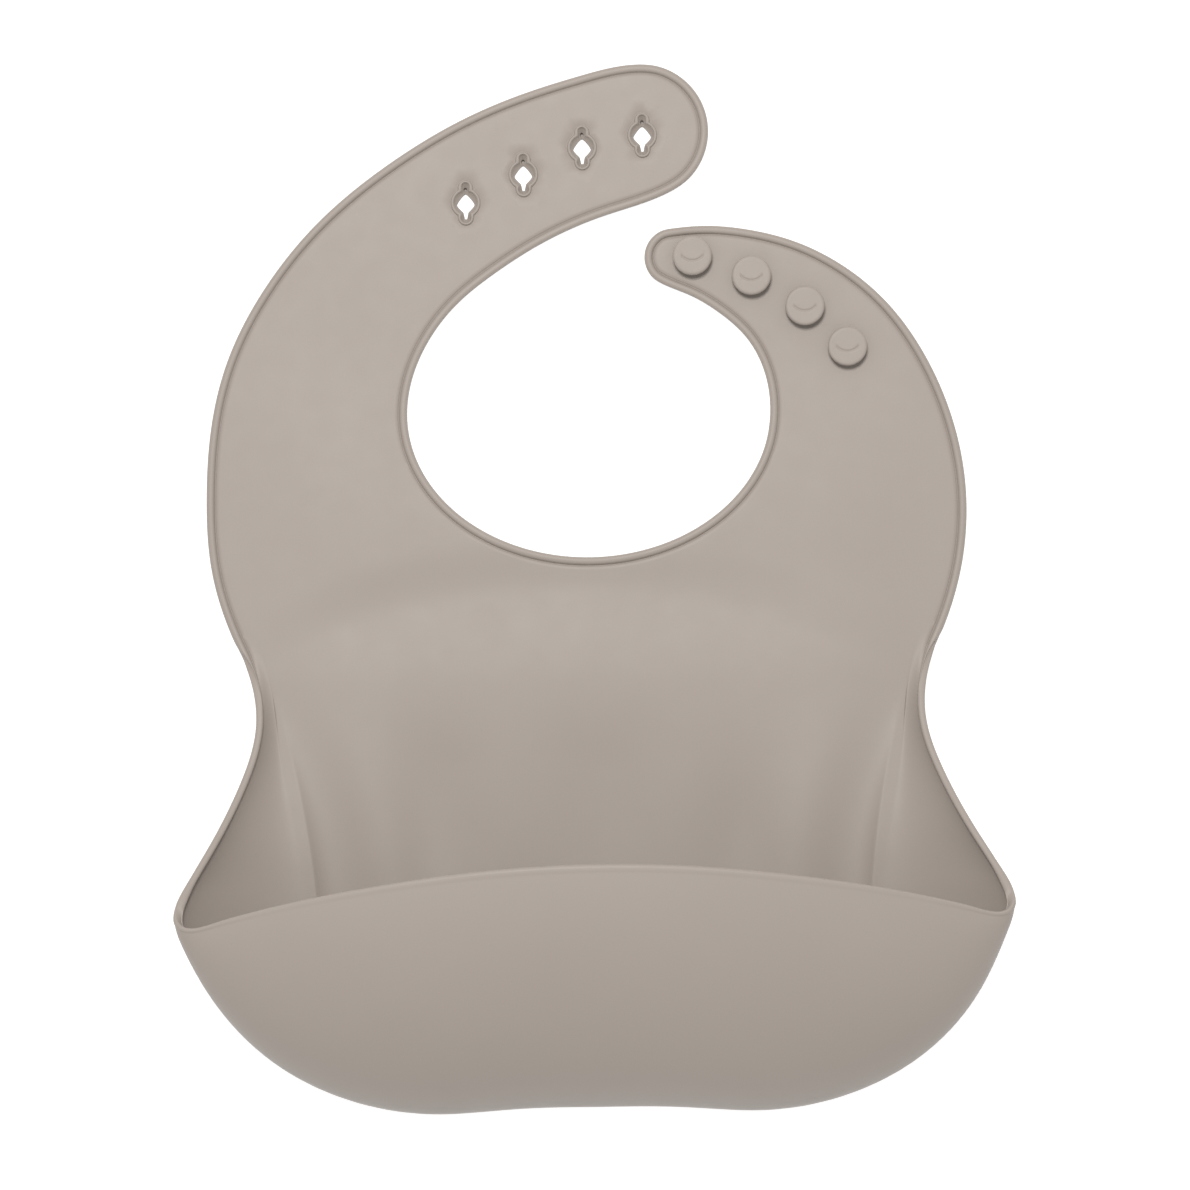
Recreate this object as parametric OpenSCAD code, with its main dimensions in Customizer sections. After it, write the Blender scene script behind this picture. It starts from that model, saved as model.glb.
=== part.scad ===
// Silicone baby bib with a catch pocket, lying on its back.
//
// +Z points out of the front face and +Y points to the neck straps. The origin is the
// centre of the bib's outline, on the surface that the bib lies on. The bib is one flexible
// moulding: its nodes are the regions between the lines where the sheet bends, the bead that
// runs along each free edge, and the moulded studs and keyholes. Regions of one body meet face
// to face, and each bending line is bridged by its own strip of sheet.

/* [Sheet] */
// Thickness of the sheet
sheet_t = 1.5; // [1.2:0.1:1.8]
// Thickness of the bead along the free edges
rim_t = 2.2; // [2:0.1:2.8]
// Width of that bead
rim_w = 2.4; // [1.8:0.1:3]

/* [Body] */
// Width across the shoulders
chest_w = 210; // [206:1:214]
// Width of the waist, between the chest and the pocket
waist_w = 185; // [182:1:188]
// Half width of the neck opening
neck_rx = 50.2; // [47:0.1:52]
// Depth of the neck opening below its widest line
neck_ry = 40; // [37:0.1:42]

/* [Straps] */
// Radius of the long strap's round end
long_cap_r = 18.5; // [18:0.1:19]
// Radius of the short strap's round end
short_cap_r = 8; // [7.5:0.1:8.5]

/* [Pocket] */
// Width across the pocket's corners
pocket_w = 228; // [226:1:230]
// Height of the lip in the middle of the pocket
lip_z = 49; // [44:1:52]
// Height of the lip at the pocket's corners
lip_corner_z = 33; // [31:0.5:35]
// Depth of the pocket's widest line below its corners
pocket_drop = 56.9; // [55:0.1:58]

/* [Closure] */
// Diameter of a stud's head
stud_head_d = 10.8; // [9:0.1:12]
// Diameter of a stud's stem
stud_stem_d = 5.8; // [5:0.1:6]
// Height of a stud above the sheet
stud_h = 4.2; // [3:0.1:6]
// Diameter of a keyhole's round middle
keyhole_d = 6.2; // [6:0.1:6.6]
// Diameter of the collar's opening round it
collar_d = 6.6; // [6.6:0.1:7]
// Width of a keyhole's slits
slit_w = 1; // [0.6:0.1:1.4]
// Height of the raised collar round a keyhole
collar_h = 0.8; // [0.4:0.1:1.2]

/* [Hidden] */
$fn = 64;
// Length of sheet that does the bending at each bending line
fold_w = 6;
// Reach of the half planes that cut the outline into regions
far = 400;
// Samples between two neighbouring points of a curve
steps = 4;
// Strips of the pouch between its crease and its widest line, and from there to the lip
low_strips = 6;
high_strips = 8;
// Angle on the front wall's curve at which the lip's bead begins
lip_angle = 87;

// Width of a collar's wall, and the size and place of its two lobes
collar_wall = 0.85;
lobe_d = 4.6;
lobe_at = 4;

// Place along the bib of the pocket's corners
corner_y = -87.8;

neck = [1.2, 48.3];
long_cap = [17, 126.2];
short_cap = [25.5, 90.8];
keyholes = [[-31.6, 107], [-15.5, 114.5], [0.9, 121.6], [17.6, 124.7]];
studs = [[30.7, 90.9], [46.9, 85.1], [61.5, 76.4], [73, 65]];

// Bending lines: a point on each, and the heading of the part that moves
chest_fold_at = [0, -8];
chest_heading = 90;
long_shoulder_heading = 96;
long_tip_at = [-42, 101];
long_tip_heading = 33;
short_shoulder_heading = 84;

silicone = [0.71, 0.67, 0.64];
silicone_shade = [0.65, 0.61, 0.58];

// ---- Curves ----

function unit(v) = v / max(norm(v), 0.0001);

// Direction of a curve at one of its points, taken from the points on either side
function heading_at(p, i) = unit(p[min(i + 1, len(p) - 1)] - p[max(i - 1, 0)]);

// Point at fraction t of a stretch that leaves a along u and reaches b along v
function stretch(a, b, u, v, t) =
    let (d = norm(b - a), s = 1 - t)
    a * (s * s * (1 + 2 * t)) + u * (d * t * s * s) - v * (d * t * t * s) + b * (t * t * (3 - 2 * t));

// Smooth curve through the points p
function smooth(p) = [
    for (i = [0:len(p) - 2])
        for (k = [0:steps - 1])
            stretch(p[i], p[i + 1], heading_at(p, i), heading_at(p, i + 1), k / steps),
    p[len(p) - 1]
];

function arc(centre, rx, ry, from, to, n) =
    [for (k = [0:n]) let (a = from + (to - from) * k / n) centre + [rx * cos(a), ry * sin(a)]];

function mirrored(p) = [for (i = [len(p) - 1:-1:0]) [-p[i][0], for (k = [1:len(p[i]) - 1]) p[i][k]]];

// A closed clockwise outline moved inwards by d
function inset(p, d) = [
    for (i = [0:len(p) - 1])
        let (t = unit(p[(i + 1) % len(p)] - p[(i + len(p) - 1) % len(p)])) p[i] + d * [t[1], -t[0]]
];

// ---- Outline of the flat part, clockwise from the left of the waist ----

side_edge = [[chest_w / 2, 27], [chest_w / 2 - 1.4, 6], [98.7, -11], [waist_w / 2, -35]];

left_outer = smooth(concat(
    mirrored(side_edge),
    [[-103.4, 44.5], [-98.4, 63.9], [-88.2, 83.2], [-72, 102.6], [-52.8, 118.1], [-32.6, 129.8],
     [-13.5, 137.4], [1, 141.7]]
));
long_end = arc(long_cap, long_cap_r, long_cap_r, 103, -71, 16);
long_inner = smooth([[21, 107.5], [6.9, 102.7], [-11.6, 94.9], [-24.3, 87.1], [-34.3, 79.3],
                     [-43.4, 67.8], [-48, 56.5]]);
neck_edge = arc(neck, neck_rx, neck_ry, 180, 360, 40);
short_inner = smooth([[50.7, 56.1], [45.7, 67.6], [37.3, 75.6], [30, 80.1]]);
short_end = arc(short_cap, short_cap_r, short_cap_r, 248, 88, 12);
right_outer = smooth(concat(
    [[35, 99.3], [46, 98.1], [58.1, 94.9], [73, 87.1], [84, 77.5], [93.7, 63.9], [100.6, 48.4]],
    side_edge
));
outline = concat(left_outer, long_end, long_inner, neck_edge, short_inner, short_end, right_outer);
inner_outline = inset(outline, rim_w);

// ---- The pouch: its crease line on the back, and its edge ----

// Pairs of points down the right side and round to the middle of the bottom: on the crease,
// where the back stops being flat, and on the outer edge, which is the free rim down to the
// pocket's corner and the pouch's widest line after it
pouch_half = [
    [[93.2, -11, 0], [98.7, -11, 0]],
    [[88.6, -24, 0], [93.9, -24, 3.5]],
    [[86.8, -37, 0], [waist_w / 2, -36, 7.5]],
    [[84.7, -52, 0], [96.7, -52, 13]],
    [[81.8, -67, 0], [105.1, -69, 21]],
    [[79.8, -78, 0], [112.3, -81.5, 26.6]],
    [[78.7, -86, 0], [pocket_w / 2, corner_y, 29]],
    [[77.2, -94, 0], [111.8, -95.6, 27.8]],
    [[73, -107, 0], [103.2, -112.8, 23.2]],
    [[65, -119, 0], [89.2, -128.4, 17.6]],
    [[54, -126.5, 0], [72, -138.4, 14]],
    [[36, -131, 0], [45, -144.2, 12.3]]
];
pouch_middle = [[[0, -132, 0], [0, corner_y - pocket_drop, 12]]];
pouch_pairs = concat(pouch_half, pouch_middle);

function side_line(k) = let (half = [for (p = pouch_pairs) p[k]], other = mirrored(half))
    smooth(concat(half, [for (i = [1:len(other) - 1]) other[i]]));

crease = side_line(0);
edge = side_line(1);

// Rows of the pouch's grid: at the pocket's corner, where the wall between edge and lip is wide
// enough to hold its thickness, at the ends of the stiff front wall, and at the bottom's middle
corner_row = 6 * steps;
mouth_row = corner_row + 3;
wall_row = 10 * steps;
middle_row = 12 * steps;
last_row = 2 * middle_row;

// The lip as seen from the front, and its height
lip_line = smooth([[-pocket_w / 2, corner_y], [-93, -85.7], [-60, -79.1], [0, -74], [60, -79.1],
                   [93, -85.7], [pocket_w / 2, corner_y]]);
function lip_y(x) = lookup(x, lip_line);
function lip_height(x) = lip_corner_z + (lip_z - lip_corner_z) * (1 - pow(2 * x / pocket_w, 2));

// From the crease, flat against the back, to the edge, where the wall stands upright
function low_point(c, e, a) =
    [c[0] + (e[0] - c[0]) * sin(a), c[1] + (e[1] - c[1]) * sin(a), e[2] * (1 - cos(a))];

// Angle on that quarter curve at which the distance left to the edge is a bead's width
function bead_angle(c, e) =
    let (d = norm([e[0] - c[0], e[1] - c[1]]), z2 = e[2] * e[2])
    90 - sqrt(2 * (sqrt(z2 * z2 + pow(d * rim_w, 2)) - z2)) / d * 180 / PI;

// From the edge, where the wall stands upright, to the lip, where it leans back level
function high_point(e, a) =
    let (x = e[0], y = lip_y(x))
    [x, e[1] + (y - e[1]) * (1 - cos(a)), e[2] + (lip_height(x) - e[2]) * sin(a)];

rim_strip = low_strips - 1;
lip_strip = low_strips + high_strips;

pouch = [for (i = [0:last_row]) concat(
    [for (j = [0:rim_strip]) low_point(crease[i], edge[i], bead_angle(crease[i], edge[i]) * j / rim_strip)],
    [edge[i]],
    [for (j = [1:high_strips - 1]) high_point(edge[i], lip_angle * j / (high_strips - 1))],
    [high_point(edge[i], 90)]
)];

// Inward direction at each point of the grid. It is upright along the crease, where the flat belly
// meets the wall. Beside the free rim, which the front wall doesn't reach, it is square to the rim.
pouch_in = [for (i = [0:last_row])
    let (
        ahead = pouch[min(i + 1, last_row)],
        behind = pouch[max(i - 1, 0)],
        free = min(i, last_row - i) <= corner_row,
        rim_in = unit(cross(ahead[rim_strip] - behind[rim_strip], pouch[i][low_strips] - pouch[i][rim_strip]))
    )
    [for (j = [0:lip_strip])
        j == 0 ? [0, 0, 1] :
        free && j >= rim_strip ? rim_in :
        unit(cross(ahead[j] - behind[j], pouch[i][min(j + 1, lip_strip)] - pouch[i][j - 1]))
    ]
];

// The two triangles of a quad, split from its first corner or from its second
function quad(p, second) = second
    ? [[p[0], p[1], p[3]], [p[1], p[2], p[3]]]
    : [[p[0], p[1], p[2]], [p[0], p[2], p[3]]];

// A sheet of thickness t on the inner side of the pouch's grid, between two rows and two strips.
// The splits are the same for neighbours, and on the right side they mirror the left side's.
module pouch_sheet(rows, strips, t) {
    across = strips[1] - strips[0] + 1;
    along = rows[1] - rows[0] + 1;
    count = across * along;
    outside = [for (i = [rows[0]:rows[1]]) for (j = [strips[0]:strips[1]]) pouch[i][j]];
    inside = [for (i = [rows[0]:rows[1]]) for (j = [strips[0]:strips[1]]) pouch[i][j] + t * pouch_in[i][j]];
    function at(i, j) = i * across + j;
    function right(i) = rows[0] + i < middle_row;
    skin = [for (i = [0:along - 2]) for (j = [0:across - 2])
        let (a = at(i, j), b = at(i + 1, j))
        each concat(
            quad([a, b, b + 1, a + 1], right(i)),
            quad([count + a, count + a + 1, count + b + 1, count + b], right(i))
        )
    ];
    border = concat(
        [for (i = [0:along - 1]) [i, 0]],
        [for (j = [1:across - 1]) [along - 1, j]],
        [for (i = [along - 2:-1:0]) [i, across - 1]],
        [for (j = [across - 2:-1:1]) [0, j]]
    );
    edges = [for (k = [0:len(border) - 1])
        let (
            p = border[k],
            q = border[(k + 1) % len(border)],
            a = at(p[0], p[1]),
            b = at(q[0], q[1]),
            mirror = p[0] != q[0] && right(min(p[0], q[0]))
        )
        each quad([a, count + a, count + b, b], (a > b) != mirror)
    ];
    polyhedron(points = concat(outside, inside), faces = concat(skin, edges), convexity = 6);
}

// Rows on the right side, or the same rows counted from the other end for the left side
function right_rows(a, b) = [a, b];
function left_rows(a, b) = [last_row - b, last_row - a];

// ---- Regions of the flat part ----

// Everything that lies between two distances past a point, along a heading
module band(at, heading, from, to) {
    translate(at) rotate(heading) translate([from, -far]) square([to - from, 2 * far]);
}

// The side of the outline that the long strap lies on
module long_side() {
    polygon([[-far, -far], [neck[0], -far], [neck[0], 80], [20, 101.5], [far, 101.5], [far, far],
             [-far, far]]);
}

module short_side() {
    difference() {
        square(2 * far, center = true);
        long_side();
    }
}

// The sheet, without its bead
module sheet() {
    linear_extrude(sheet_t) intersection() {
        polygon(inner_outline);
        children();
    }
}

// The bead alone
module bead() {
    linear_extrude(rim_t) intersection() {
        difference() {
            polygon(outline);
            polygon(inner_outline);
        }
        children();
    }
}

// A strip of sheet and bead that bridges one bending line
module fold(at, heading) {
    color(silicone_shade) union() {
        sheet() intersection() {
            band(at, heading, -fold_w / 2, fold_w / 2);
            children();
        }
        bead() intersection() {
            band(at, heading, -fold_w / 2, fold_w / 2);
            children();
        }
    }
}

module chest_region() {
    difference() {
        band(chest_fold_at, chest_heading, fold_w / 2, far);
        intersection() {
            band(neck, long_shoulder_heading, -fold_w / 2, far);
            long_side();
        }
        intersection() {
            band(neck, short_shoulder_heading, -fold_w / 2, far);
            short_side();
        }
    }
}

module long_strap_region() {
    intersection() {
        band(neck, long_shoulder_heading, fold_w / 2, far);
        band(long_tip_at, long_tip_heading, -far, -fold_w / 2);
        long_side();
    }
}

module long_tip_region() {
    intersection() {
        band(long_tip_at, long_tip_heading, fold_w / 2, far);
        band(neck, long_shoulder_heading, fold_w, far);
        long_side();
    }
}

module short_strap_region() {
    intersection() {
        band(neck, short_shoulder_heading, fold_w / 2, far);
        short_side();
    }
}

// The area around the neck opening, which holds the inner beads and none of the outer ones
module round_neck(reach) {
    translate(neck) circle(neck_rx + reach);
}

// ---- Belly and pocket ----

module belly_panel() {
    color(silicone) linear_extrude(sheet_t) polygon([for (p = crease) [p[0], p[1]]]);
}

module side_wall_left() {
    color(silicone) pouch_sheet(left_rows(0, corner_row), [0, rim_strip], sheet_t);
}

module side_wall_right() {
    color(silicone) pouch_sheet(right_rows(0, corner_row), [0, rim_strip], sheet_t);
}

module side_rim_left() {
    color(silicone_shade) pouch_sheet(left_rows(0, corner_row), [rim_strip, low_strips], rim_t);
}

module side_rim_right() {
    color(silicone_shade) pouch_sheet(right_rows(0, corner_row), [rim_strip, low_strips], rim_t);
}

module pocket_side_left() {
    color(silicone) pouch_sheet(left_rows(corner_row, wall_row), [0, low_strips], sheet_t);
}

module pocket_side_right() {
    color(silicone) pouch_sheet(right_rows(corner_row, wall_row), [0, low_strips], sheet_t);
}

module pocket_floor() {
    color(silicone) pouch_sheet([wall_row, last_row - wall_row], [0, rim_strip], sheet_t);
}

// The strip round the pouch's widest line, where the front wall bends
module pocket_fold() {
    color(silicone_shade)
        pouch_sheet([wall_row, last_row - wall_row], [rim_strip, low_strips + 1], sheet_t);
}

module pocket_front_wall() {
    color(silicone)
        pouch_sheet([wall_row, last_row - wall_row], [low_strips + 1, lip_strip - 1], sheet_t);
}

module pocket_lip() {
    color(silicone_shade)
        pouch_sheet([wall_row, last_row - wall_row], [lip_strip - 1, lip_strip], rim_t);
}

module pocket_corner_left() {
    color(silicone) pouch_sheet(left_rows(mouth_row, wall_row), [low_strips, lip_strip - 1], sheet_t);
}

module pocket_corner_right() {
    color(silicone) pouch_sheet(right_rows(mouth_row, wall_row), [low_strips, lip_strip - 1], sheet_t);
}

module pocket_lip_left() {
    color(silicone_shade) pouch_sheet(left_rows(mouth_row, wall_row), [lip_strip - 1, lip_strip], rim_t);
}

module pocket_lip_right() {
    color(silicone_shade) pouch_sheet(right_rows(mouth_row, wall_row), [lip_strip - 1, lip_strip], rim_t);
}

// ---- Chest ----

module chest_fold() {
    fold(chest_fold_at, chest_heading) square(2 * far, center = true);
}

module chest_panel() {
    color(silicone) sheet() chest_region();
}

module chest_rim(side) {
    color(silicone_shade) bead() intersection() {
        chest_region();
        translate([side * far, 0]) square(2 * far, center = true);
        difference() {
            square(2 * far, center = true);
            round_neck(10);
        }
    }
}

module neck_rim() {
    color(silicone_shade) bead() intersection() {
        chest_region();
        round_neck(10);
    }
}

// ---- Long strap, with the keyholes ----

module long_shoulder_fold() {
    fold(neck, long_shoulder_heading) long_side();
}

module long_strap() {
    color(silicone) sheet() long_strap_region();
}

module long_strap_outer_rim() {
    color(silicone_shade) bead() difference() {
        long_strap_region();
        round_neck(5);
    }
}

module long_strap_inner_rim() {
    color(silicone_shade) bead() intersection() {
        long_strap_region();
        round_neck(5);
    }
}

module long_tip_fold() {
    fold(long_tip_at, long_tip_heading) intersection() {
        band(neck, long_shoulder_heading, fold_w, far);
        long_side();
    }
}

// A round hole with a slit above and below it
module keyhole(d) {
    circle(d = d);
    square([slit_w, 1.6 * keyhole_d], center = true);
}

module long_strap_tip() {
    color(silicone) difference() {
        sheet() long_tip_region();
        for (at = keyholes) translate([at[0], at[1], -1]) linear_extrude(sheet_t + 2) keyhole(keyhole_d);
    }
}

module long_strap_tip_rim() {
    color(silicone_shade) bead() long_tip_region();
}

// A raised collar: a round body with a small lobe at each end, which holds the slits
module keyhole_collar(at) {
    color(silicone_shade) translate([at[0], at[1], sheet_t]) linear_extrude(collar_h) difference() {
        union() {
            circle(d = collar_d + 2 * collar_wall);
            for (side = [-1, 1]) translate([0, side * lobe_at]) circle(d = lobe_d);
        }
        keyhole(collar_d);
    }
}

// ---- Short strap, with the studs ----

module short_shoulder_fold() {
    fold(neck, short_shoulder_heading) short_side();
}

module short_strap() {
    color(silicone) sheet() short_strap_region();
}

module short_strap_rim() {
    color(silicone_shade) bead() short_strap_region();
}

// A mushroom stud: a stem under a flat head with rounded edges
module stud(at) {
    head_t = stud_h / 2;
    bend = head_t / 2;
    rim = stud_head_d / 2 - bend;
    profile = concat(
        [[0, 0], [stud_stem_d / 2, 0], [stud_stem_d / 2, stud_h - head_t], [rim, stud_h - head_t]],
        arc([rim, stud_h - bend], bend, bend, -75, 90, 6),
        [[0, stud_h]]
    );
    color(silicone) translate([at[0], at[1], sheet_t]) rotate_extrude() polygon(profile);
}

belly_panel();
side_wall_left();
side_wall_right();
side_rim_left();
side_rim_right();
pocket_side_left();
pocket_side_right();
pocket_floor();
pocket_fold();
pocket_front_wall();
pocket_lip();
pocket_corner_left();
pocket_corner_right();
pocket_lip_left();
pocket_lip_right();
chest_fold();
chest_panel();
chest_rim(-1);  // chest_rim_left
chest_rim(1);  // chest_rim_right
neck_rim();
long_shoulder_fold();
long_strap();
long_strap_outer_rim();
long_strap_inner_rim();
long_tip_fold();
long_strap_tip();
long_strap_tip_rim();
keyhole_collar(keyholes[0]);  // keyhole_collar_1
keyhole_collar(keyholes[1]);  // keyhole_collar_2
keyhole_collar(keyholes[2]);  // keyhole_collar_3
keyhole_collar(keyholes[3]);  // keyhole_collar_4
short_shoulder_fold();
short_strap();
short_strap_rim();
stud(studs[0]);  // stud_1
stud(studs[1]);  // stud_2
stud(studs[2]);  // stud_3
stud(studs[3]);  // stud_4
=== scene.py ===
"""Looks of the silicone bib: one continuous moulded skin, split only where a joint bends it.

Lengths are in millimetres until a mesh is made. The skin is built from rows that run from the
bib's free edge inwards: one closed edge goes up the left side, round both neck straps and the
neck opening, down the right side, and back along the pocket's lip.
"""

import math

import bmesh
import bpy
import numpy as np
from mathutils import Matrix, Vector
from mathutils.geometry import delaunay_2d_cdt


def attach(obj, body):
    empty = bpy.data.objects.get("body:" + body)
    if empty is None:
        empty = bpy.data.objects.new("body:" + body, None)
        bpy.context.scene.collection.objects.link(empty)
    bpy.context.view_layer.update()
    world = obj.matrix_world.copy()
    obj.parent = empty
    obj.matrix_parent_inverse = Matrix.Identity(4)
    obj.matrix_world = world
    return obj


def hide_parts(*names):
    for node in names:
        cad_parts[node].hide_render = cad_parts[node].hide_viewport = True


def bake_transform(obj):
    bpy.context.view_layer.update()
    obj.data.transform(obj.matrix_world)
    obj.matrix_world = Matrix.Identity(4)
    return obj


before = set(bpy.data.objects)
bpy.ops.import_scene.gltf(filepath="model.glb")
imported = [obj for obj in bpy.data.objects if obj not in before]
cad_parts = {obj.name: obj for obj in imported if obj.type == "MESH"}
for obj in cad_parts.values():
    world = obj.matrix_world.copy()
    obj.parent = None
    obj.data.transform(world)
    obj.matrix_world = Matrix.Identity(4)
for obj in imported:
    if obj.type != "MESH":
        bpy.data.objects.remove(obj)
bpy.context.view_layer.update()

MM = 0.001
# Thickness of the sheet
SHEET = 1.5

# ---- Small numeric helpers ----


def smoothstep(x):
    x = np.clip(x, 0, 1)
    return x * x * (3 - 2 * x)


def bell(x, width):
    return np.exp(-((x / width) ** 2))


def unit(v):
    return v / np.maximum(np.linalg.norm(v, axis=-1, keepdims=True), 1e-9)


def arc_length(p):
    return np.concatenate([[0], np.cumsum(np.linalg.norm(np.diff(p, axis=0), axis=1))])


def resample(p, s, at):
    """Points at the distances `at` along the polyline p, whose own distances are s."""
    return np.stack([np.interp(at, s, p[:, k]) for k in range(p.shape[1])], axis=1)


# Points of a spline from one key to the next
SPAN = 40


def spline(keys):
    """Natural cubic spline through the keys. The first two columns set its parameter."""
    p = np.array(keys, float)
    h = np.linalg.norm(np.diff(p[:, :2], axis=0), axis=1)
    n = len(p)
    matrix = np.eye(n)
    target = np.zeros_like(p)
    for i in range(1, n - 1):
        matrix[i, i - 1 : i + 2] = h[i - 1], 2 * (h[i - 1] + h[i]), h[i]
        target[i] = 6 * ((p[i + 1] - p[i]) / h[i] - (p[i] - p[i - 1]) / h[i - 1])
    m = np.linalg.solve(matrix, target)
    out = []
    for i in range(n - 1):
        t = (np.arange(SPAN) / SPAN * h[i])[:, None]
        a = (p[i + 1] - p[i]) / h[i] - h[i] * (2 * m[i] + m[i + 1]) / 6
        out.append(p[i] + t * (a + t * (m[i] / 2 + t * (m[i + 1] - m[i]) / (6 * h[i]))))
    return np.concatenate(out + [p[-1:]])


def arc(centre, rx, ry, start, stop, count):
    a = np.radians(np.linspace(start, stop, count))
    return np.stack([centre[0] + rx * np.cos(a), centre[1] + ry * np.sin(a)], axis=1)


# ---- The free edge and the pouch's guide lines ----

# Middle and half sizes of the neck opening
NECK = (1.2, 48.3)
NECK_RADII = (50.2, 40)
# Bending lines: a point on each, and the heading of the part that moves
CHEST_LINE = ((0, -8), 90)
LONG_SHOULDER_LINE = (NECK, 96)
SHORT_SHOULDER_LINE = (NECK, 84)
LONG_TIP_LINE = ((-42, 101), 33)

# Middle and radius of the round end of each strap
SHORT_CAP = (25.5, 90.8)
SHORT_CAP_RADIUS = 8
LONG_CAP = (17.3, 125.8)
LONG_CAP_RADIUS = 18.6

# Middles of the keyholes and of the studs
KEYHOLES = [(-31.6, 107), (-15.5, 114.5), (0.9, 121.6), (17.6, 124.7)]
STUDS = [(30.7, 90.9), (46.9, 85.1), (61.5, 76.4), (73, 65)]

# The pocket's corner, where the free edge turns from the side wall into the lip
MOUTH = (113.3, -84.4, 28.3)
# Right side, from the shoulder down to the bottom's middle: a point on the edge (below the pocket's
# corner, on the pouch's widest line), and the foot on the back where that side starts to rise
SIDE = [
    ((105, 27, 0), (97, 27)),
    ((103.9, 6, 0), (96.5, 7.3)),
    ((99, -11, 0), (93.2, -9)),
    ((93.9, -24, 3.5), (88.8, -23)),
    ((92.3, -36, 7.5), (86.9, -36.5)),
    ((96.6, -52, 13), (84.6, -53)),
    ((105.1, -69, 21), (81.6, -68)),
    ((111.7, -80.5, 26.4), (79.8, -79)),
    (MOUTH, (79.2, -83)),
    ((113.8, -87.8, 29), (78.7, -86)),
    ((111.8, -95.6, 27.8), (77.2, -94)),
    ((103.2, -112.8, 23.2), (73, -107)),
    ((89.2, -128.4, 17.6), (65, -119)),
    ((72, -138.4, 14), (54, -126.5)),
    ((45, -144, 12.3), (36, -131)),
    ((23, -142.9, 12.1), (18, -131.8)),
]
BOTTOM = ((0, -142.6, 12), (0, -132))

# The free edge from the right side, in a tight turn round the pocket's corner, to the lip's middle
LIP = [
    (105.1, -69, 21),
    (111.7, -80.5, 26.4),
    MOUTH,
    (113.4, -86.6, 29.8),
    (112.3, -88.7, 31),
    (109.8, -89.8, 32),
    (106.4, -89.5, 33),
    (101.4, -88, 34.6),
    (93, -85.7, 37.2),
    (78, -82.3, 41),
    (60, -79.1, 44.4),
    (30, -75.3, 47.9),
    (0, -74, 49),
]


def mirrored(keys):
    return [(-key[0], *key[1:]) for key in reversed(keys)]


# Each key of the outline holds the edge's point and the foot's point; the straps have no foot
right_side = np.array([(*edge, *foot) for edge, foot in SIDE])
bottom_key = np.array([(*BOTTOM[0], *BOTTOM[1])])
pocket_keys = np.concatenate([right_side, bottom_key, right_side[::-1] * (-1, 1, 1, -1, 1)])
# The pocket lies a little askew: its lower half leans to the right, and sags more there
LEAN_SHIFT = 0.2
LEAN_SLOPE = 0.008
lean = smoothstep((-92 - pocket_keys[:, 1]) / 30)
pocket_keys[:, 1] -= LEAN_SLOPE * pocket_keys[:, 0] * lean
pocket_keys[:, 0] += LEAN_SHIFT * lean
right_side, bottom_key, left_side = np.split(pocket_keys, [len(SIDE), len(SIDE) + 1])

straps = np.concatenate([
    [(-103.6, 44.5), (-98.7, 63.9), (-88.5, 83.3), (-72.2, 102.8), (-52.8, 118.1), (-32.6, 129.8),
     (-13.5, 137.4), (1, 141.6)],
    arc(LONG_CAP, LONG_CAP_RADIUS, LONG_CAP_RADIUS, 95, -68, 9),
    [(6.9, 102.7), (-11.6, 94.9), (-24.3, 87.1), (-34.3, 79.3), (-43.4, 67.8), (-48, 56.5)],
    arc(NECK, *NECK_RADII, 182, 358, 15),
    [(50.7, 56.1), (45.7, 67.6), (37.3, 75.6), (30, 80.1)],
    arc(SHORT_CAP, SHORT_CAP_RADIUS, SHORT_CAP_RADIUS, 248, 90, 8),
    [(35, 99.3), (46, 98.1), (58.1, 94.9), (73, 87.1), (84, 77.5), (93.7, 63.9), (100.6, 48.4)],
])
strap_keys = [(x, y, 0, x, y) for x, y in straps]
loop = spline([*bottom_key, *left_side, *strap_keys, *right_side, *bottom_key])
# The edge lies on the ground above the waist
WAIST = -12.5
loop[:, 2] *= smoothstep((WAIST - loop[:, 1]) / 9)
loop_s = arc_length(loop[:, :2])


def place_of(x, y):
    """Distance along the loop of its point nearest to x, y."""
    return loop_s[int(np.argmin(np.hypot(loop[:, 0] - x, loop[:, 1] - y)))]


def spaced(start, stop, step_at):
    """Distances from start to stop with the step that step_at gives at each."""
    marks = [start]
    while marks[-1] < stop:
        marks.append(marks[-1] + step_at(marks[-1]))
    marks = np.array(marks[:-1])
    return start + (marks - start) * (stop - start) / (marks[-1] - start)


# ---- The bead along the free edge ----

# Back and front of the section, as distance in from the edge and height above the back
BEAD_REACH = 3.6
BEAD_BACK = [
    (BEAD_REACH, 0), (3.0, 0), (2.6, 0), (2.3, 0), (2.0, 0), (1.7, 0), (1.4, 0), (1.0, 0),
    (0.65, 0.02), (0.35, 0.14), (0.1, 0.42), (0, 0.8),
]
BEAD_FRONT = [
    (0, 1.25), (0.1, 1.62), (0.32, 1.92), (0.65, 2.1), (1.1, 2.16), (1.55, 2.12), (1.88, 1.98),
    (2.08, 1.7), (2.2, 1.38), (2.32, 1.14), (2.44, 1.1), (2.56, 1.3), (2.75, 1.46),
    (BEAD_REACH, SHEET),
]

# ---- Relief of the sheet ----

# Shallow hollows in the belly: place, half sizes and depth
HOLLOWS = [
    (-4, -70, 50, 38, 0.5),
    (-43, -64, 12, 27, 1.3),
    (4, -62, 15, 30, 0.9),
    (40, -72, 10, 22, 1.1),
]
# Heights above the ground of the sheet under the neck opening, and of the belly
CHEST_RISE = 1.4
BELLY_RISE = 2.5
# The step under the neck opening: its middle, its depth there, how much more or less deep it is far
# to the left and right, and how far it has come down at the distance STEP_SPREAD from its middle
STEP_X = -8
STEP_Y = 7.5
STEP_DEPTH = 0.75
STEP_TILT = 0.2
STEP_DROP = 21
STEP_SPREAD = 88
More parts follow.
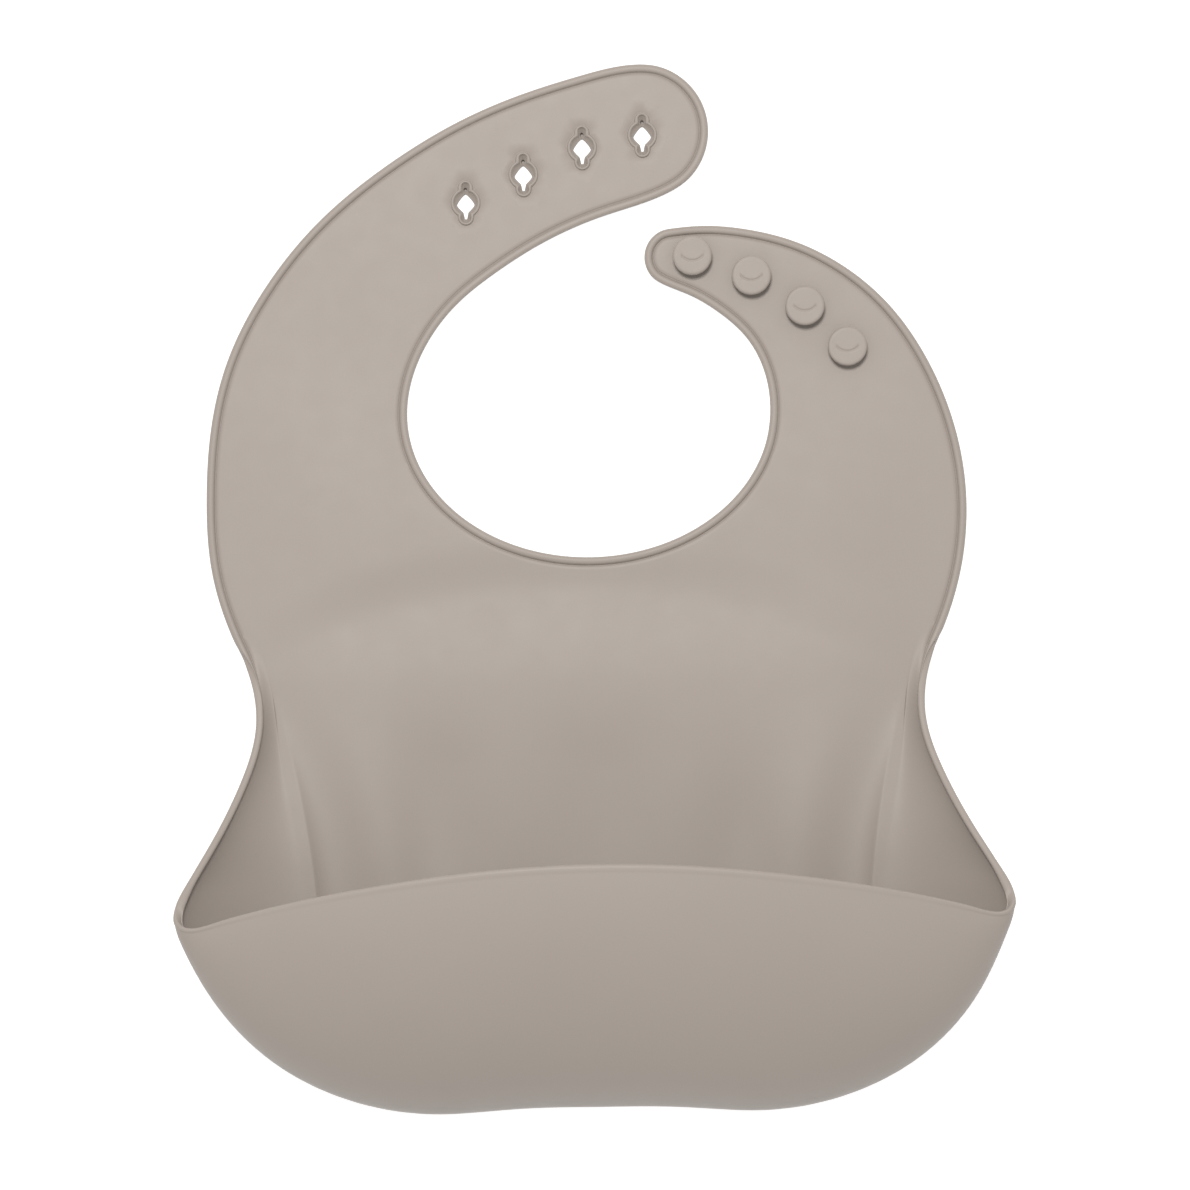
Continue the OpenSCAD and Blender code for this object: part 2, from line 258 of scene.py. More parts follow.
# The fold beside the belly: where its edge meets the lip, and how the edge leans and bows outwards
FOLD_X = 76.8
FOLD_Y = -82
FOLD_LEAN = 0.09
FOLD_BOW = 0.002
# The height of its edge, how far its hollow reaches inwards, and the height and the distance of the
# soft crest beyond the hollow
FOLD_RISE = 3.6
FOLD_REACH = 3.6
CREST = 1.5
CREST_PLACE = 20


def relief(x, y):
    """Height by which the sheet's gentle waves lift it off the surface it lies on."""
    side = np.abs(x)
    # A narrow step arcs down to the waist, and the sheet rises again below it
    below = STEP_Y - STEP_DROP * ((x - STEP_X) / STEP_SPREAD) ** 2 - y
    step = STEP_DEPTH - STEP_TILT * np.tanh(x / 40)
    dip = step * smoothstep((below + 8) / 16) * np.exp(-np.maximum(below - 8, 0) / 17)
    rise = CHEST_RISE * smoothstep((70 - y) / 56) + (BELLY_RISE - CHEST_RISE) * smoothstep((4 - y) / 30)
    height = (rise - dip) * smoothstep((104 - side) / 42)
    belly = smoothstep((-20 - y) / 30)
    for cx, cy, rx, ry, depth in HOLLOWS:
        height = height - depth * belly * bell(np.hypot((x - cx) / rx, (y - cy) / ry), 1)
    # Towards the pocket the belly sinks, and curves up again to the fold's edge. Out is negative on
    # the edge's inner side, and 0 from the edge outwards.
    deep = smoothstep((-26 - y) / 50)
    up = y - FOLD_Y
    out = np.minimum(side - (FOLD_X + FOLD_LEAN * up + FOLD_BOW * up**2), 0)
    # All of it fades out under the pocket's front
    sunk = (height + CREST * deep * bell(out + CREST_PLACE, 9)) * (1 - 0.8 * deep * np.exp(out / 12))
    return (sunk + FOLD_RISE * deep * np.exp(out / FOLD_REACH)) * smoothstep((y + 124) / 24)


# ---- Meshes ----

def mesh_object(name, points, faces):
    data = bpy.data.meshes.new(name)
    data.from_pydata([tuple(p) for p in np.asarray(points) * MM], [], faces)
    data.validate()
    obj = bpy.data.objects.new(name, data)
    bpy.context.scene.collection.objects.link(obj)
    return obj


def grid_faces(rows, columns, start=0, wrap=False):
    """Quads of a rows by columns grid of points; wrap joins the last row to the first."""
    faces = []
    for i in range(rows if wrap else rows - 1):
        a, b = start + i * columns, start + (i + 1) % rows * columns
        faces += [(a + j, b + j, b + j + 1, a + j + 1) for j in range(columns - 1)]
    return faces


def fill(outline, holes, spacing):
    """Triangles that fill a 2D outline round its holes. Returns the new inner points and faces.

    Face corners count the outline's points first, then each hole's, then the new points."""
    loops = [np.asarray(outline)] + [np.asarray(h) for h in holes]
    fixed = np.concatenate(loops)
    edges = []
    first = 0
    for ring in loops:
        n = len(ring)
        edges += [(first + k, first + (k + 1) % n) for k in range(n)]
        first += n
    low, high = fixed.min(axis=0), fixed.max(axis=0)
    xs = np.arange(low[0], high[0], spacing)
    ys = np.arange(low[1], high[1], spacing * math.sqrt(3) / 2)
    inner = np.array([(x + (k % 2) * spacing / 2, y) for k, y in enumerate(ys) for x in xs])
    inner = inner[inside(inner, loops[0])]
    for ring in loops[1:]:
        inner = inner[~inside(inner, ring)]
    near = np.full(len(inner), 1e9)
    for start in range(0, len(fixed), 400):
        block = fixed[start : start + 400]
        near = np.minimum(near, np.linalg.norm(inner[:, None] - block[None], axis=2).min(axis=1))
    inner = inner[near > spacing * 0.55]
    points = [Vector(p) for p in np.concatenate([fixed, inner])]
    out, _, faces, origin, _, _ = delaunay_2d_cdt(points, edges, [], 0, 1e-6)
    if len(out) != len(points):
        raise RuntimeError("the fill merged or added points")
    back = [o[0] for o in origin]
    triangles = []
    middles = []
    for f in faces:
        corners = [back[v] for v in f]
        triangles.append(corners)
        middles.append(np.mean([points[c] for c in corners], axis=0))
    middles = np.array(middles)
    keep = inside(middles, loops[0])
    for ring in loops[1:]:
        keep &= ~inside(middles, ring)
    return inner, [t for t, k in zip(triangles, keep) if k]


def inside(p, ring):
    """Which of the points p lie inside a closed ring."""
    x, y = p[:, 0], p[:, 1]
    result = np.zeros(len(p), bool)
    a = ring
    b = np.roll(ring, -1, axis=0)
    for (ax, ay), (bx, by) in zip(a, b):
        if ay == by:
            continue
        crosses = (ay > y) != (by > y)
        result ^= crosses & (x < (bx - ax) * (y - ay) / (by - ay) + ax)
    return result


# ---- Flat part: chest and both straps ----

# Distance between rows, and the shorter ones round the short strap's end and the pocket's corners
ROW_STEP = 1.3
CAP_STEP = 0.6
CORNER_STEP = 0.4
# Spacing of the points that fill the areas inside the rows
FLAT_SPACING = 2.6
POUCH_SPACING = 2.3
BACK_SPACING = 3.2


def inward_at(s):
    """Unit normals of the loop, pointing into the sheet, at distances s."""
    ahead = resample(loop, loop_s, (s + 0.05) % loop_s[-1])[:, :2]
    behind = resample(loop, loop_s, (s - 0.05) % loop_s[-1])[:, :2]
    along = unit(ahead - behind)
    return np.stack([along[:, 1], -along[:, 0]], axis=1)


def strap_step(s):
    """Distance between rows: short round the short strap's tight end."""
    x, y = resample(loop[:, :2], loop_s, [s])[0]
    near = math.hypot(x - SHORT_CAP[0], y - SHORT_CAP[1]) < SHORT_CAP_RADIUS + 6
    return CAP_STEP if near else ROW_STEP


# The rows start and end a little below the waist cut
flat_s = spaced(place_of(-94, -24), place_of(94, -24), strap_step)
flat_edge = resample(loop, loop_s, flat_s)[:, :2]
inward = inward_at(flat_s)

# A keyhole's outlines, as radius against angle, with more points near the ends of its slits
ring_t = np.linspace(0, 2 * math.pi, 144, endpoint=False)
ring_angle = ring_t + 0.38 * np.sin(2 * ring_t)
ring_cos = np.cos(ring_angle)
ring_sin = np.sin(ring_angle)


def soft_max(a, b, power):
    return (a**power + b**power) ** (1 / power)


def lobed(body, top, bottom, reach):
    """A round body with a smaller round lobe above and below it, as a ring of points."""
    lobe = np.where(ring_sin > 0, top, bottom)
    centre = reach - lobe
    under = np.maximum(lobe**2 - (centre * ring_cos) ** 2, 0)
    tip = np.where(under > 0, centre * np.abs(ring_sin) + np.sqrt(under), 0)
    r = soft_max(body, tip, 12)
    return np.stack([r * ring_cos, r * ring_sin], axis=1)


# The hole's middle lies a little below the collar's, and the blind hole's middle above it
HOLE_RISE = -0.55
PIN_RISE = 3.55


def slotted(grow):
    """The hole itself: a diamond that is taller above its middle, over a slit that narrows downwards."""
    tall = np.where(ring_sin > 0, 2.9, 2.4)
    diamond = (1 + grow / 2.4) / (np.abs(ring_cos) ** 1.4 / 2.4 + np.abs(ring_sin) ** 1.4 / tall)
    slit = np.minimum((1.05 + 0.3 * grow) / (np.abs(ring_cos) + 0.19 * np.abs(ring_sin)), 3.95)
    r = np.where(ring_sin > 0, diamond, soft_max(diamond, slit, 16))
    return np.stack([r * ring_cos, r * ring_sin + HOLE_RISE], axis=1)


# From the sheet up over the collar and down to the recess, each ring with its height
COLLAR_RINGS = [
    (lobed(4.35, 2.3, 2.4, 6.45), SHEET),
    (lobed(4.2, 2.15, 2.25, 6.3), SHEET - 0.1),
    (lobed(4.08, 2.05, 2.15, 6.2), SHEET + 0.2),
    (lobed(4.0, 1.97, 2.07, 6.12), SHEET + 0.6),
    (lobed(3.85, 1.82, 1.92, 5.97), SHEET + 0.76),
    (lobed(3.55, 1.5, 1.65, 5.75), SHEET + 0.78),
    (lobed(3.36, 1.2, 1.5, 5.6), SHEET + 0.66),
    (lobed(3.24, 1.0, 1.38, 5.5), SHEET + 0.35),
    (lobed(3.14, 0.9, 1.3, 5.4), SHEET - 0.1),
]
# From the recess to the back
HOLE_RINGS = [
    (slotted(0.2), 1.0),
    (slotted(0.05), 0.9),
    (slotted(0), 0.7),
    (slotted(0), 0.15),
    (slotted(0.12), 0),
]


def pin(r):
    """An outline of the drop-shaped blind hole above the diamond."""
    a = np.linspace(0, 2 * math.pi, 24, endpoint=False)
    tall = np.where(np.sin(a) > 0, 1.2 * r, 0.85)
    return np.stack([r * np.cos(a), PIN_RISE + tall * np.sin(a)], axis=1)


# The blind hole is wider inside than at its mouth
PIN_RINGS = [(pin(0.5), 1.3), (pin(0.5), 1.15), (pin(0.72), 0.9), (pin(0.76), 0.05)]
PIN_SPACING = 0.5
# The recess takes no points of its own between the hole and the collar
RECESS_SPACING = 3.6


def add(points, more):
    """Appends points and returns the grown array with the index of the first new one."""
    return np.concatenate([points, more]), len(points)


def add_fill(points, faces, loops, spacing, height, upward):
    """Fills between loops of existing points, the first round the others, at one height."""
    inner, triangles = fill(points[loops[0], :2], [points[k, :2] for k in loops[1:]], spacing)
    points, first = add(points, np.c_[inner, np.full(len(inner), height)])
    index = np.concatenate([*loops, np.arange(first, len(points))])
    for t in triangles:
        a, b, c = (points[index[k], :2] for k in t)
        left_turn = (b[0] - a[0]) * (c[1] - a[1]) - (b[1] - a[1]) * (c[0] - a[0]) > 0
        faces.append(tuple(index[k] for k in (t if left_turn == upward else t[::-1])))
    return points


def add_walls(points, faces, rings):
    """Joins rings of the same count, each given as 2D points and a height. Returns their indices."""
    indices = []
    for shape, height in rings:
        points, first = add(points, np.c_[shape, np.full(len(shape), height)])
        indices.append(np.arange(first, len(points)))
    for upper, lower in zip(indices, indices[1:]):
        for i in range(len(upper)):
            j = (i + 1) % len(upper)
            faces.append((upper[i], upper[j], lower[j], lower[i]))
    return points, indices


def flat_skin():
    """The whole flat part as one closed skin, with the keyholes, down to a little below the waist cut."""
    section = BEAD_BACK + BEAD_FRONT
    columns = len(section)
    rows = len(flat_edge)
    points = np.array([(*(e + n * d), h) for e, n in zip(flat_edge, inward) for d, h in section])
    faces = grid_faces(rows, columns)
    top_loops = [np.arange(rows) * columns + columns - 1]
    back_loops = [np.arange(rows) * columns]
    for centre in KEYHOLES:
        points, collar = add_walls(points, faces, [(ring + centre, z) for ring, z in COLLAR_RINGS])
        points, hole = add_walls(points, faces, [(ring + centre, z) for ring, z in HOLE_RINGS])
        points, pinhole = add_walls(points, faces, [(ring + centre, z) for ring, z in PIN_RINGS])
        # The recess is a funnel from the collar down to the hole
        recess = [collar[-1], hole[0], pinhole[0]]
        points = add_fill(points, faces, recess, RECESS_SPACING, COLLAR_RINGS[-1][1], True)
        points = add_fill(points, faces, [pinhole[-1]], PIN_SPACING, PIN_RINGS[-1][1], True)
        top_loops.append(collar[0])
        back_loops.append(hole[-1])
    points = add_fill(points, faces, top_loops, FLAT_SPACING, SHEET, True)
    points = add_fill(points, faces, back_loops, FLAT_SPACING, 0, False)
    points[:, 2] += relief(points[:, 0], points[:, 1])
    return points, faces


# ---- Belly and pocket ----

# The lip begins at MOUTH, and the two keys before it only steer the curve there
lip_keys = LIP + mirrored(LIP[:-1])
lip = spline(lip_keys)[2 * SPAN : -2 * SPAN]
lip_s = arc_length(lip[:, :2])
whole = loop_s[-1]
# Distances below run from the right side, round the bottom, to the left side
mouth_a = place_of(*MOUTH[:2])
mouth_b = whole + place_of(-MOUTH[0], MOUTH[1])

# The lip is shorter than the widest line, and falls behind it only this far from the corners
EASE = 14
half_line = (mouth_b - mouth_a) / 2
lip_lag = (half_line - lip_s[-1] / 2) / (half_line - EASE * (1 - math.exp(-half_line / EASE)))


def lip_point(s):
    """The lip's point on the row that crosses the widest line at s."""
    d = min(s - mouth_a, mouth_b - s)
    along = d - lip_lag * (d - EASE * (1 - math.exp(-d / EASE)))
    if mouth_b - s < s - mouth_a:
        along = lip_s[-1] - along
    return resample(lip, lip_s, [along])[0]


def pouch_step(s):
    """Distance between rows: short round the pocket's corners."""
    near = min(abs(s - mouth_a - 4), abs(s - mouth_b + 4))
    return CORNER_STEP + (ROW_STEP - CORNER_STEP) * float(smoothstep((near - 8) / 14))


# The rows start and end a little above the waist cut
pouch_s = spaced(place_of(104, 4), whole + place_of(-104, 4), pouch_step)
pouch_guides = resample(loop, loop_s, pouch_s % whole)
pouch_inward = inward_at(pouch_s)

# The wall's curve leaves the flat back and the widest line straight for this share of its size
WALL_HANDLE = 0.36
# Share of its height above the sheet that the bead loses along the side walls
SLIM = 0.35
# How far the bead stands proud on the outside, along the lip and at the pocket's corners
LIP_PROUD = 0.08
CORNER_PROUD = 0.35
# How far the rows reach past the foot, and the strips of a row before and after the foot
BACK_REACH = 17
WALL_STRIPS = 44
BACK_STRIPS = 42
# Points of a row's fine polyline: lip to edge, edge to foot, and foot to end
UPPER_POINTS = 220
WALL_POINTS = 160
BACK_POINTS = 30


def pouch_row(s, guide, normal):
    """One row as a fine polyline from the free edge over the wall to the flat back, and the
    distance along it of the wall's foot."""
    edge, foot = guide[:3], guide[3:]
    span = np.linalg.norm(foot - edge[:2])
    # A row runs square to the edge above the waist, and towards its foot below it
    turn = smoothstep((-14 - edge[1]) / 22)
    direction = unit(normal * (1 - turn) + (foot - edge[:2]) / span * turn)
    # The wall is upright at the widest line and level at its foot
    t = np.linspace(0, 1, WALL_POINTS)
    level = 3 * t**2 * (1 - t) * (1 - WALL_HANDLE) + t**3
    upright = (1 - t) ** 3 + 3 * t * (1 - t) ** 2 * (1 - WALL_HANDLE)
    past = np.linspace(0, BACK_REACH, BACK_POINTS)[1:]
    plan = np.concatenate([span * level, span + past])
    height = np.concatenate([edge[2] * upright, np.zeros(len(past))])
    row = np.c_[edge[:2] + plan[:, None] * direction, height]
    upper = 0
    if mouth_a < s < mouth_b:
        reach = lip_point(s) - edge
        # A part of a circle near the corners, and a quarter of an ellipse elsewhere
        full = min(2 * math.atan2(math.hypot(reach[0], reach[1]), reach[2]), math.pi / 2)
        a = np.linspace(full, 0, UPPER_POINTS)[:-1]
        out = (1 - np.cos(a)) / (1 - math.cos(full))
        up = np.sin(a) / math.sin(full)
        high = np.c_[edge[0] + reach[0] * out, edge[1] + reach[1] * out, edge[2] + reach[2] * up]
        row = np.concatenate([high, row])
        upper = len(high)
    return row, arc_length(row)[upper + WALL_POINTS - 1]


def pouch_skin():
    """Belly and pocket as one closed skin, up to a little above the waist cut."""
    bead_d = sorted({d for d, _ in BEAD_BACK + BEAD_FRONT})
    back = []
    for s, guide, normal in zip(pouch_s, pouch_guides, pouch_inward):
        row, foot_d = pouch_row(s, guide, normal)
        d = arc_length(row)
        wall = np.linspace(BEAD_REACH, foot_d, WALL_STRIPS + 1)[1:]
        flat = np.linspace(foot_d, d[-1], BACK_STRIPS + 1)[1:]
        back.append(resample(row, d, np.concatenate([bead_d, wall, flat])))
    back = np.array(back)
    normals = unit(np.cross(np.gradient(back, axis=0), np.gradient(back, axis=1)))
    if normals[0, -1, 2] < 0:
        normals = -normals
    # The relief belongs to the sheet that lies low, and fades out up the walls
    top = np.maximum(pouch_guides[:, 2:3], 0.5)
    back[:, :, 2] += relief(back[:, :, 0], back[:, :, 1]) * np.clip(1 - back[:, :, 2] / top, 0, 1)
    order = {d: k for k, d in enumerate(bead_d)}
    # Near the pocket's corners the bead stands proud on the outside too
    near = np.minimum(np.abs(pouch_s - mouth_a), np.abs(pouch_s - mouth_b))
    on_lip = (pouch_s > mouth_a) & (pouch_s < mouth_b)
    lip_proud = LIP_PROUD + (CORNER_PROUD - LIP_PROUD) * (1 - smoothstep(near / 40))
    side_proud = CORNER_PROUD * (1 - smoothstep(near / 10))
    proud = np.where(on_lip, lip_proud, side_proud)
    # The bead is slimmer along the side walls, and has no groove beside it
    before = np.maximum(mouth_a - pouch_s, pouch_s - mouth_b)
    slim = smoothstep((-16 - pouch_guides[:, 1]) / 20) * smoothstep((before - 1) / 8)
    plain = range(len(bead_d), back.shape[1])
    columns = [back[:, k] for k in reversed(plain)]
    for d, h in BEAD_BACK:
        k = order[d]
        outer = proud * (1 - smoothstep((d - 1.4) / 0.9))
        columns.append(back[:, k] + normals[:, k] * (h - outer)[:, None])
    for d, h in BEAD_FRONT:
        k = order[d]
        thin = h + (SHEET - h) * (SLIM if h > SHEET else 1)
        thick = h + (thin - h) * slim * smoothstep((d - 0.1) / 0.4)
        columns.append(back[:, k] + normals[:, k] * thick[:, None])
    columns += [back[:, k] + normals[:, k] * SHEET for k in plain]
    skin = np.stack(columns, axis=1)
    rows, width = skin.shape[:2]
    faces = grid_faces(rows, width)
    points = skin.reshape(-1, 3)
    bare = len(points)
    ends = np.arange(rows) * width
    points = add_fill(points, faces, [ends + width - 1], POUCH_SPACING, SHEET, True)
    points = add_fill(points, faces, [ends], BACK_SPACING, 0, False)
    points[bare:, 2] += relief(points[bare:, 0], points[bare:, 1])
    return points, faces


# ---- Cutting the skins into pieces near the joints' bending lines ----

# How far before a bending line the cut lies: at the waist, and at the straps' roots and the long strap's
# end
WAIST_CUT = 4
CUT_BACK = 8


def line_plane(line, offset):
    """Point and normal, in metres, of the upright plane across a bending line's heading."""
    (x, y), heading = line
    n = Vector((math.cos(math.radians(heading)), math.sin(math.radians(heading)), 0))
    return Vector((x, y, 0)) * MM + n * offset * MM, n


def cut(source, name, planes):
    """A closed copy of a mesh, cut by planes. Each plane is (point, normal, where): the side
    the normal points away from is dropped, among the faces that `where` picks."""
    bm = bmesh.new()
    bm.from_mesh(source.data)
    for point, normal, where in planes:
        chosen = [f for f in bm.faces if where(f.calc_center_median() / MM)]
        geometry = set(chosen)
        for f in chosen:
            geometry.update(f.verts)
            geometry.update(f.edges)
        bmesh.ops.bisect_plane(bm, geom=list(geometry), dist=1e-7, plane_co=point, plane_no=normal)
        gone = [
            f for f in bm.faces
            if (f.calc_center_median() - point).dot(normal) < 0 and where(f.calc_center_median() / MM)
        ]
        bmesh.ops.delete(bm, geom=gone, context="FACES")
        rim = [
            e for e in bm.edges
            if e.is_boundary and all(abs((v.co - point).dot(normal)) < 1e-6 for v in e.verts)
        ]
        made = bmesh.ops.triangle_fill(bm, edges=rim, use_beauty=True, use_dissolve=False)
        for e in rim:
            e.smooth = False
        for f in made["geom"]:
            if isinstance(f, bmesh.types.BMFace):
                f.smooth = True
    bmesh.ops.recalc_face_normals(bm, faces=bm.faces)
    data = bpy.data.meshes.new(name)
    bm.to_mesh(data)
    bm.free()
    obj = bpy.data.objects.new(name, data)
    bpy.context.scene.collection.objects.link(obj)
    return obj


def drop_islands(obj, keep):
    """Keeps only the connected part of a mesh that holds the point nearest to `keep`."""
    bm = bmesh.new()
    bm.from_mesh(obj.data)
    goal = Vector((*keep, 0)) * MM
    start = min(bm.verts, key=lambda v: (v.co - goal).length)
    seen = {start}
    todo = [start]
    while todo:
        v = todo.pop()
        for e in v.link_edges:
            other = e.other_vert(v)
            if other not in seen:
                seen.add(other)
                todo.append(other)
    bmesh.ops.delete(bm, geom=[v for v in bm.verts if v not in seen], context="VERTS")
    bm.to_mesh(obj.data)
    bm.free()


def flipped(plane):
    return plane[0], -plane[1]


def on_long_side(p):
    """The long strap's side of a line from the neck opening that runs between the two straps."""
    if p.x < NECK[0]:
        return True
    return p.y > (101.5 if p.x > 20 else 80 + (p.x - NECK[0]) * 1.15)


def on_short_side(p):
    return not on_long_side(p)


def above_neck(p):
    """Above the neck opening's middle, where the cut at the long strap's end stays clear of its root."""
    return p.y > 60


def anywhere(p):
    return True


# ---- Studs ----

# The grip line is part of a circle about a point above the face's middle
GRIP_RISE = 2.6
GRIP_RADIUS = 4
GRIP_DEPTH = 0.22
GRIP_WIDTH = 0.26
GRIP_HALF_LENGTH = 3.3
# Everything of a stud above this height is its face
FACE_HEIGHT = 4.15

# Radius and height above the sheet, from the foot of the stem to the edge of the flat face
STUD_SECTION = [
    (4.2, 0.0), (3.5, 0.05), (3.15, 0.22), (2.95, 0.55), (2.9, 1.1), (2.9, 1.75), (3.05, 2.02),
    (3.5, 2.1), (4.8, 2.12), (5.16, 2.2), (5.36, 2.4), (5.42, 2.7), (5.42, 3.45), (5.38, 3.75),
    (5.26, 3.98), (5.08, 4.12), (4.86, 4.18), (4.6, 4.2), (4.3, 4.2), (4.1, 4.2),
]


def stud(name, centre):
    """A mushroom stud: flared stem, round-edged head, and a shallow curved grip line in its face."""
    a = np.linspace(0, 2 * math.pi, 96, endpoint=False)
    # Close rings across the face carry the grip line
    section = STUD_SECTION + [(r, STUD_SECTION[-1][1]) for r in np.arange(3.96, 0.1, -0.14)]
    points = np.zeros((0, 3))
    faces = []
    rings = [(np.stack([r * np.cos(a), r * np.sin(a)], axis=1), h) for r, h in section]
    points, indices = add_walls(points, faces, rings)
    for ring, height, order in ((indices[-1], section[-1][1], 1), (indices[0], 0, -1)):
        points, middle = add(points, np.array([(0, 0, height)]))
        faces += [(ring[j], ring[(j + 1) % len(ring)], middle)[::order] for j in range(len(ring))]
    off = np.hypot(points[:, 0], points[:, 1] - GRIP_RISE) - GRIP_RADIUS
    ends = smoothstep((GRIP_HALF_LENGTH - np.abs(points[:, 0])) / 0.5) * (points[:, 1] < 1)
    face = points[:, 2] > FACE_HEIGHT
    points[:, 2] -= GRIP_DEPTH * bell(off, GRIP_WIDTH) * ends * face
    points += (*centre, SHEET)
    return mesh_object(name, points, faces)


# ---- Material ----

TAUPE = (0.33, 0.2865, 0.251)
ROUGHNESS = 0.52


def silicone(name, colour, roughness):
    """Satin moulded silicone: faint mottling, and a fine mould grain that breaks up the gloss."""
    material = bpy.data.materials.new(name)
    material.use_nodes = True
    nodes = material.node_tree.nodes
    links = material.node_tree.links
    shader = nodes["Principled BSDF"]
    shader.inputs["Roughness"].default_value = roughness
    shader.inputs["Specular IOR Level"].default_value = 0.35
    shader.inputs["Sheen Weight"].default_value = 0.12
    shader.inputs["Sheen Roughness"].default_value = 0.5
    place = nodes.new("ShaderNodeTexCoord")

    def noise(scale, detail):
        n = nodes.new("ShaderNodeTexNoise")
        n.inputs["Scale"].default_value = scale
        n.inputs["Detail"].default_value = detail
        links.new(place.outputs["Object"], n.inputs["Vector"])
        return n

    mottle = noise(28, 3)
    tint = nodes.new("ShaderNodeMix")
    tint.data_type = "RGBA"
    tint.inputs["A"].default_value = (*[c * 0.975 for c in colour], 1)
    tint.inputs["B"].default_value = (*[min(c * 1.025, 1) for c in colour], 1)
    links.new(mottle.outputs["Fac"], tint.inputs["Factor"])
    links.new(tint.outputs["Result"], shader.inputs["Base Color"])
    gloss = nodes.new("ShaderNodeMapRange")
    gloss.inputs["To Min"].default_value = roughness - 0.06
    gloss.inputs["To Max"].default_value = roughness + 0.06
    links.new(noise(160, 4).outputs["Fac"], gloss.inputs["Value"])
    links.new(gloss.outputs["Result"], shader.inputs["Roughness"])
    grain = nodes.new("ShaderNodeBump")
    grain.inputs["Strength"].default_value = 0.12
    grain.inputs["Distance"].default_value = 0.00005
    links.new(noise(2600, 2).outputs["Fac"], grain.inputs["Height"])
    links.new(grain.outputs["Normal"], shader.inputs["Normal"])
    return material


# ---- Build the pieces ----

flat_points, flat_faces = flat_skin()
flat = mesh_object("flat_source", flat_points, flat_faces)
pouch_points, pouch_faces = pouch_skin()
pouch = mesh_object("pouch_source", pouch_points, pouch_faces)

waist = line_plane(CHEST_LINE, -WAIST_CUT)
long_root = line_plane(LONG_SHOULDER_LINE, -CUT_BACK)
short_root = line_plane(SHORT_SHOULDER_LINE, -CUT_BACK)
long_tip = line_plane(LONG_TIP_LINE, -CUT_BACK)

belly_piece = cut(pouch, "belly_and_pocket", [(*flipped(waist), anywhere)])
chest_piece = cut(flat, "chest", [
    (*waist, anywhere),
    (*flipped(long_root), on_long_side),
    (*flipped(short_root), on_short_side),
])

# All of the short strap lies on the dropped side of this plane
left_of_middle = (Vector((-10, 0, 0)) * MM, Vector((-1, 0, 0)))
long_piece = cut(flat, "long_strap", [
    (*long_root, anywhere),
    (*left_of_middle, on_short_side),
    (*flipped(long_tip), above_neck),
])
tip_piece = cut(flat, "long_strap_end", [(*long_tip, anywhere)])
short_piece = cut(flat, "short_strap", [(*short_root, anywhere)])

# A plane has no end, so a cut can leave bits of other parts behind
drop_islands(long_piece, (-80, 80))
drop_islands(tip_piece, (17, 135))
drop_islands(short_piece, (73, 65))
drop_islands(chest_piece, (0, 0))

for source in (flat, pouch):
    data = source.data
    bpy.data.objects.remove(source)
    bpy.data.meshes.remove(data)

skin = silicone("silicone", TAUPE, ROUGHNESS)
pieces = [belly_piece, chest_piece, long_piece, tip_piece, short_piece]
stud_pieces = [stud(f"stud_head_{k + 1}", c) for k, c in enumerate(STUDS)]
for obj in pieces + stud_pieces:
    obj.data.materials.clear()
    obj.data.materials.append(skin)
    for polygon in obj.data.polygons:
        polygon.use_smooth = True


def bend(obj):
    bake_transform(obj)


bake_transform(belly_piece)
bend(chest_piece)
bend(long_piece)
bend(tip_piece)
bend(short_piece)
for obj in stud_pieces:
    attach(obj, "short_strap")

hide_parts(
    "belly_panel", "side_wall_left", "side_wall_right", "side_rim_left", "side_rim_right",
    "pocket_side_left", "pocket_side_right", "pocket_floor", "pocket_fold", "pocket_front_wall",
    "pocket_lip", "pocket_corner_left", "pocket_corner_right", "pocket_lip_left", "pocket_lip_right",
)
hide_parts("chest_fold", "chest_panel", "chest_rim_left", "chest_rim_right", "neck_rim")
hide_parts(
    "long_shoulder_fold", "long_strap", "long_strap_outer_rim", "long_strap_inner_rim",
)
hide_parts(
    "long_tip_fold", "long_strap_tip", "long_strap_tip_rim",
    *[f"keyhole_collar_{k + 1}" for k in range(len(KEYHOLES))],
)
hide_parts("short_shoulder_fold", "short_strap", "short_strap_rim")
for k, obj in enumerate(stud_pieces):
    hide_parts(f"stud_{k + 1}")

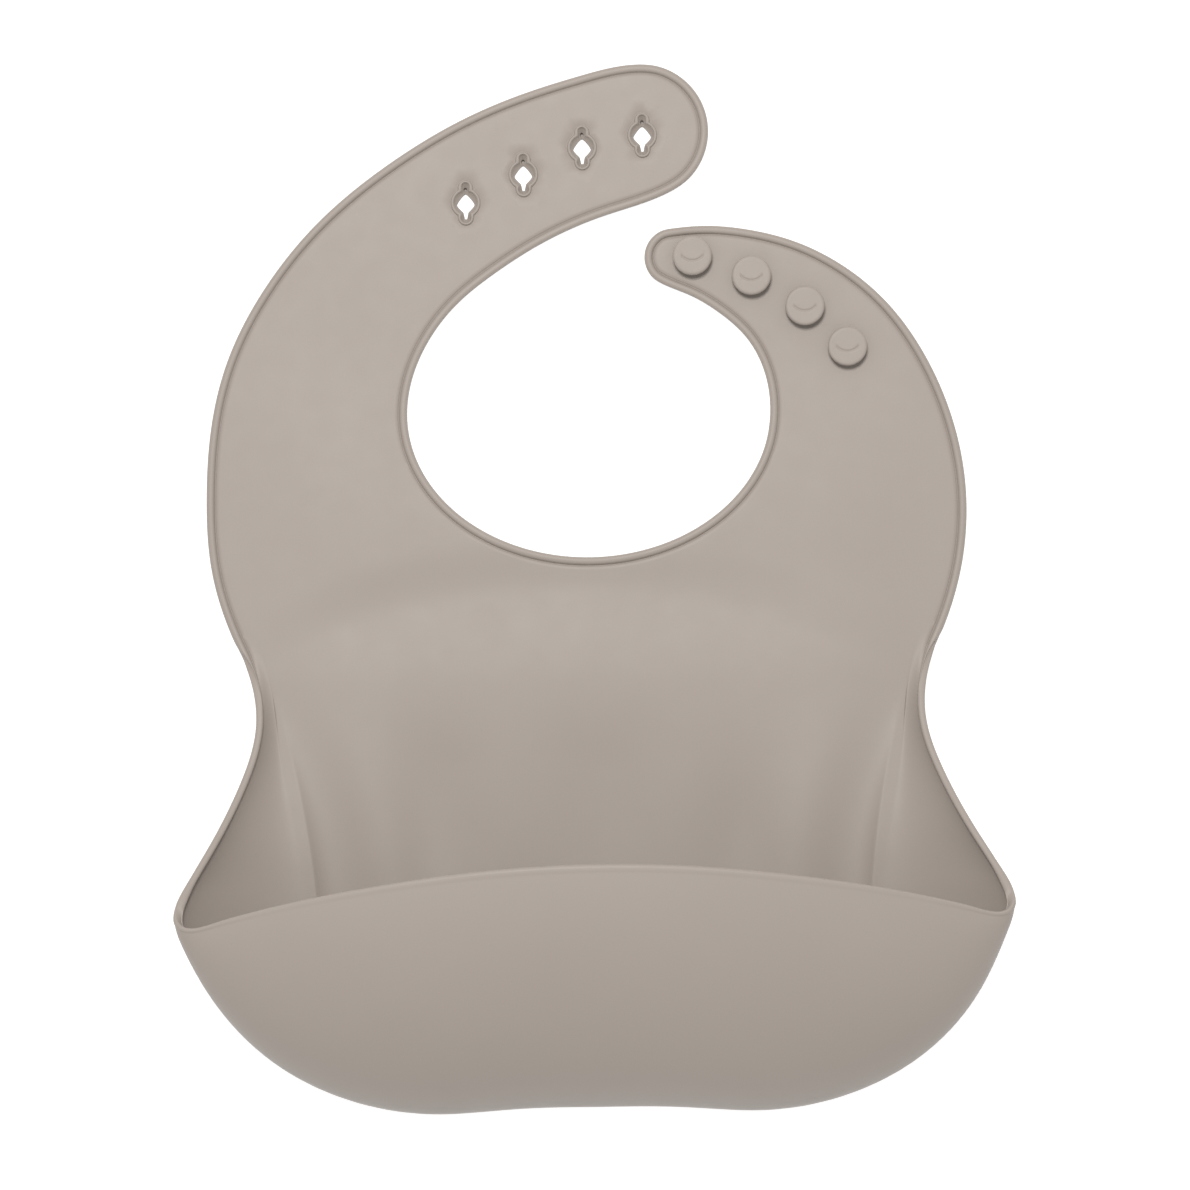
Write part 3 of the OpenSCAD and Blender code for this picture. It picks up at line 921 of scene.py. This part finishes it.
# ---- Floor, light and camera ----

FLOOR_SIZE = 6
FLOOR_GREY = 0.35
FLOOR_GLOW = 0.86
KEY_PLACE = (-0.1, 0.57, 1.8)
KEY_SIZE = 0.4
KEY_POWER = 27
SKY = 0.53
CAMERA_PLACE = (0.0019, -0.0022, 1.3)
CAMERA_TURN = -1.2
CAMERA_LENS = 142

bpy.ops.mesh.primitive_plane_add(size=FLOOR_SIZE, location=(0, 0, 0))
floor = bpy.context.object
floor.name = "floor"
paper = bpy.data.materials.new("white_paper")
paper.use_nodes = True
paper_shader = paper.node_tree.nodes["Principled BSDF"]
paper_shader.inputs["Base Color"].default_value = (FLOOR_GREY, FLOOR_GREY, FLOOR_GREY, 1)
paper_shader.inputs["Roughness"].default_value = 0.9
# A light table: the glow takes the shadow off the paper
paper_shader.inputs["Emission Color"].default_value = (1, 1, 1, 1)
paper_shader.inputs["Emission Strength"].default_value = FLOOR_GLOW
floor.data.materials.append(paper)


def soft_light(name, place, aim, size, power):
    lamp = bpy.data.lights.new(name, "AREA")
    lamp.shape = "SQUARE"
    lamp.size = size
    lamp.energy = power
    obj = bpy.data.objects.new(name, lamp)
    bpy.context.scene.collection.objects.link(obj)
    obj.location = place
    obj.rotation_euler = (Vector(aim) - Vector(place)).to_track_quat("-Z", "Y").to_euler()


soft_light("key", KEY_PLACE, (0, 0, 0), KEY_SIZE, KEY_POWER)

world = bpy.data.worlds.new("studio")
world.use_nodes = True
world.node_tree.nodes["Background"].inputs["Color"].default_value = (1, 1, 1, 1)
world.node_tree.nodes["Background"].inputs["Strength"].default_value = SKY
bpy.context.scene.world = world
bpy.context.scene.view_settings.view_transform = "Standard"

camera_data = bpy.data.cameras.new("camera")
camera_data.lens = CAMERA_LENS
camera_data.sensor_width = 36
camera = bpy.data.objects.new("camera", camera_data)
bpy.context.scene.collection.objects.link(camera)
camera.location = CAMERA_PLACE
camera.rotation_euler = (0, 0, math.radians(CAMERA_TURN))
bpy.context.scene.camera = camera
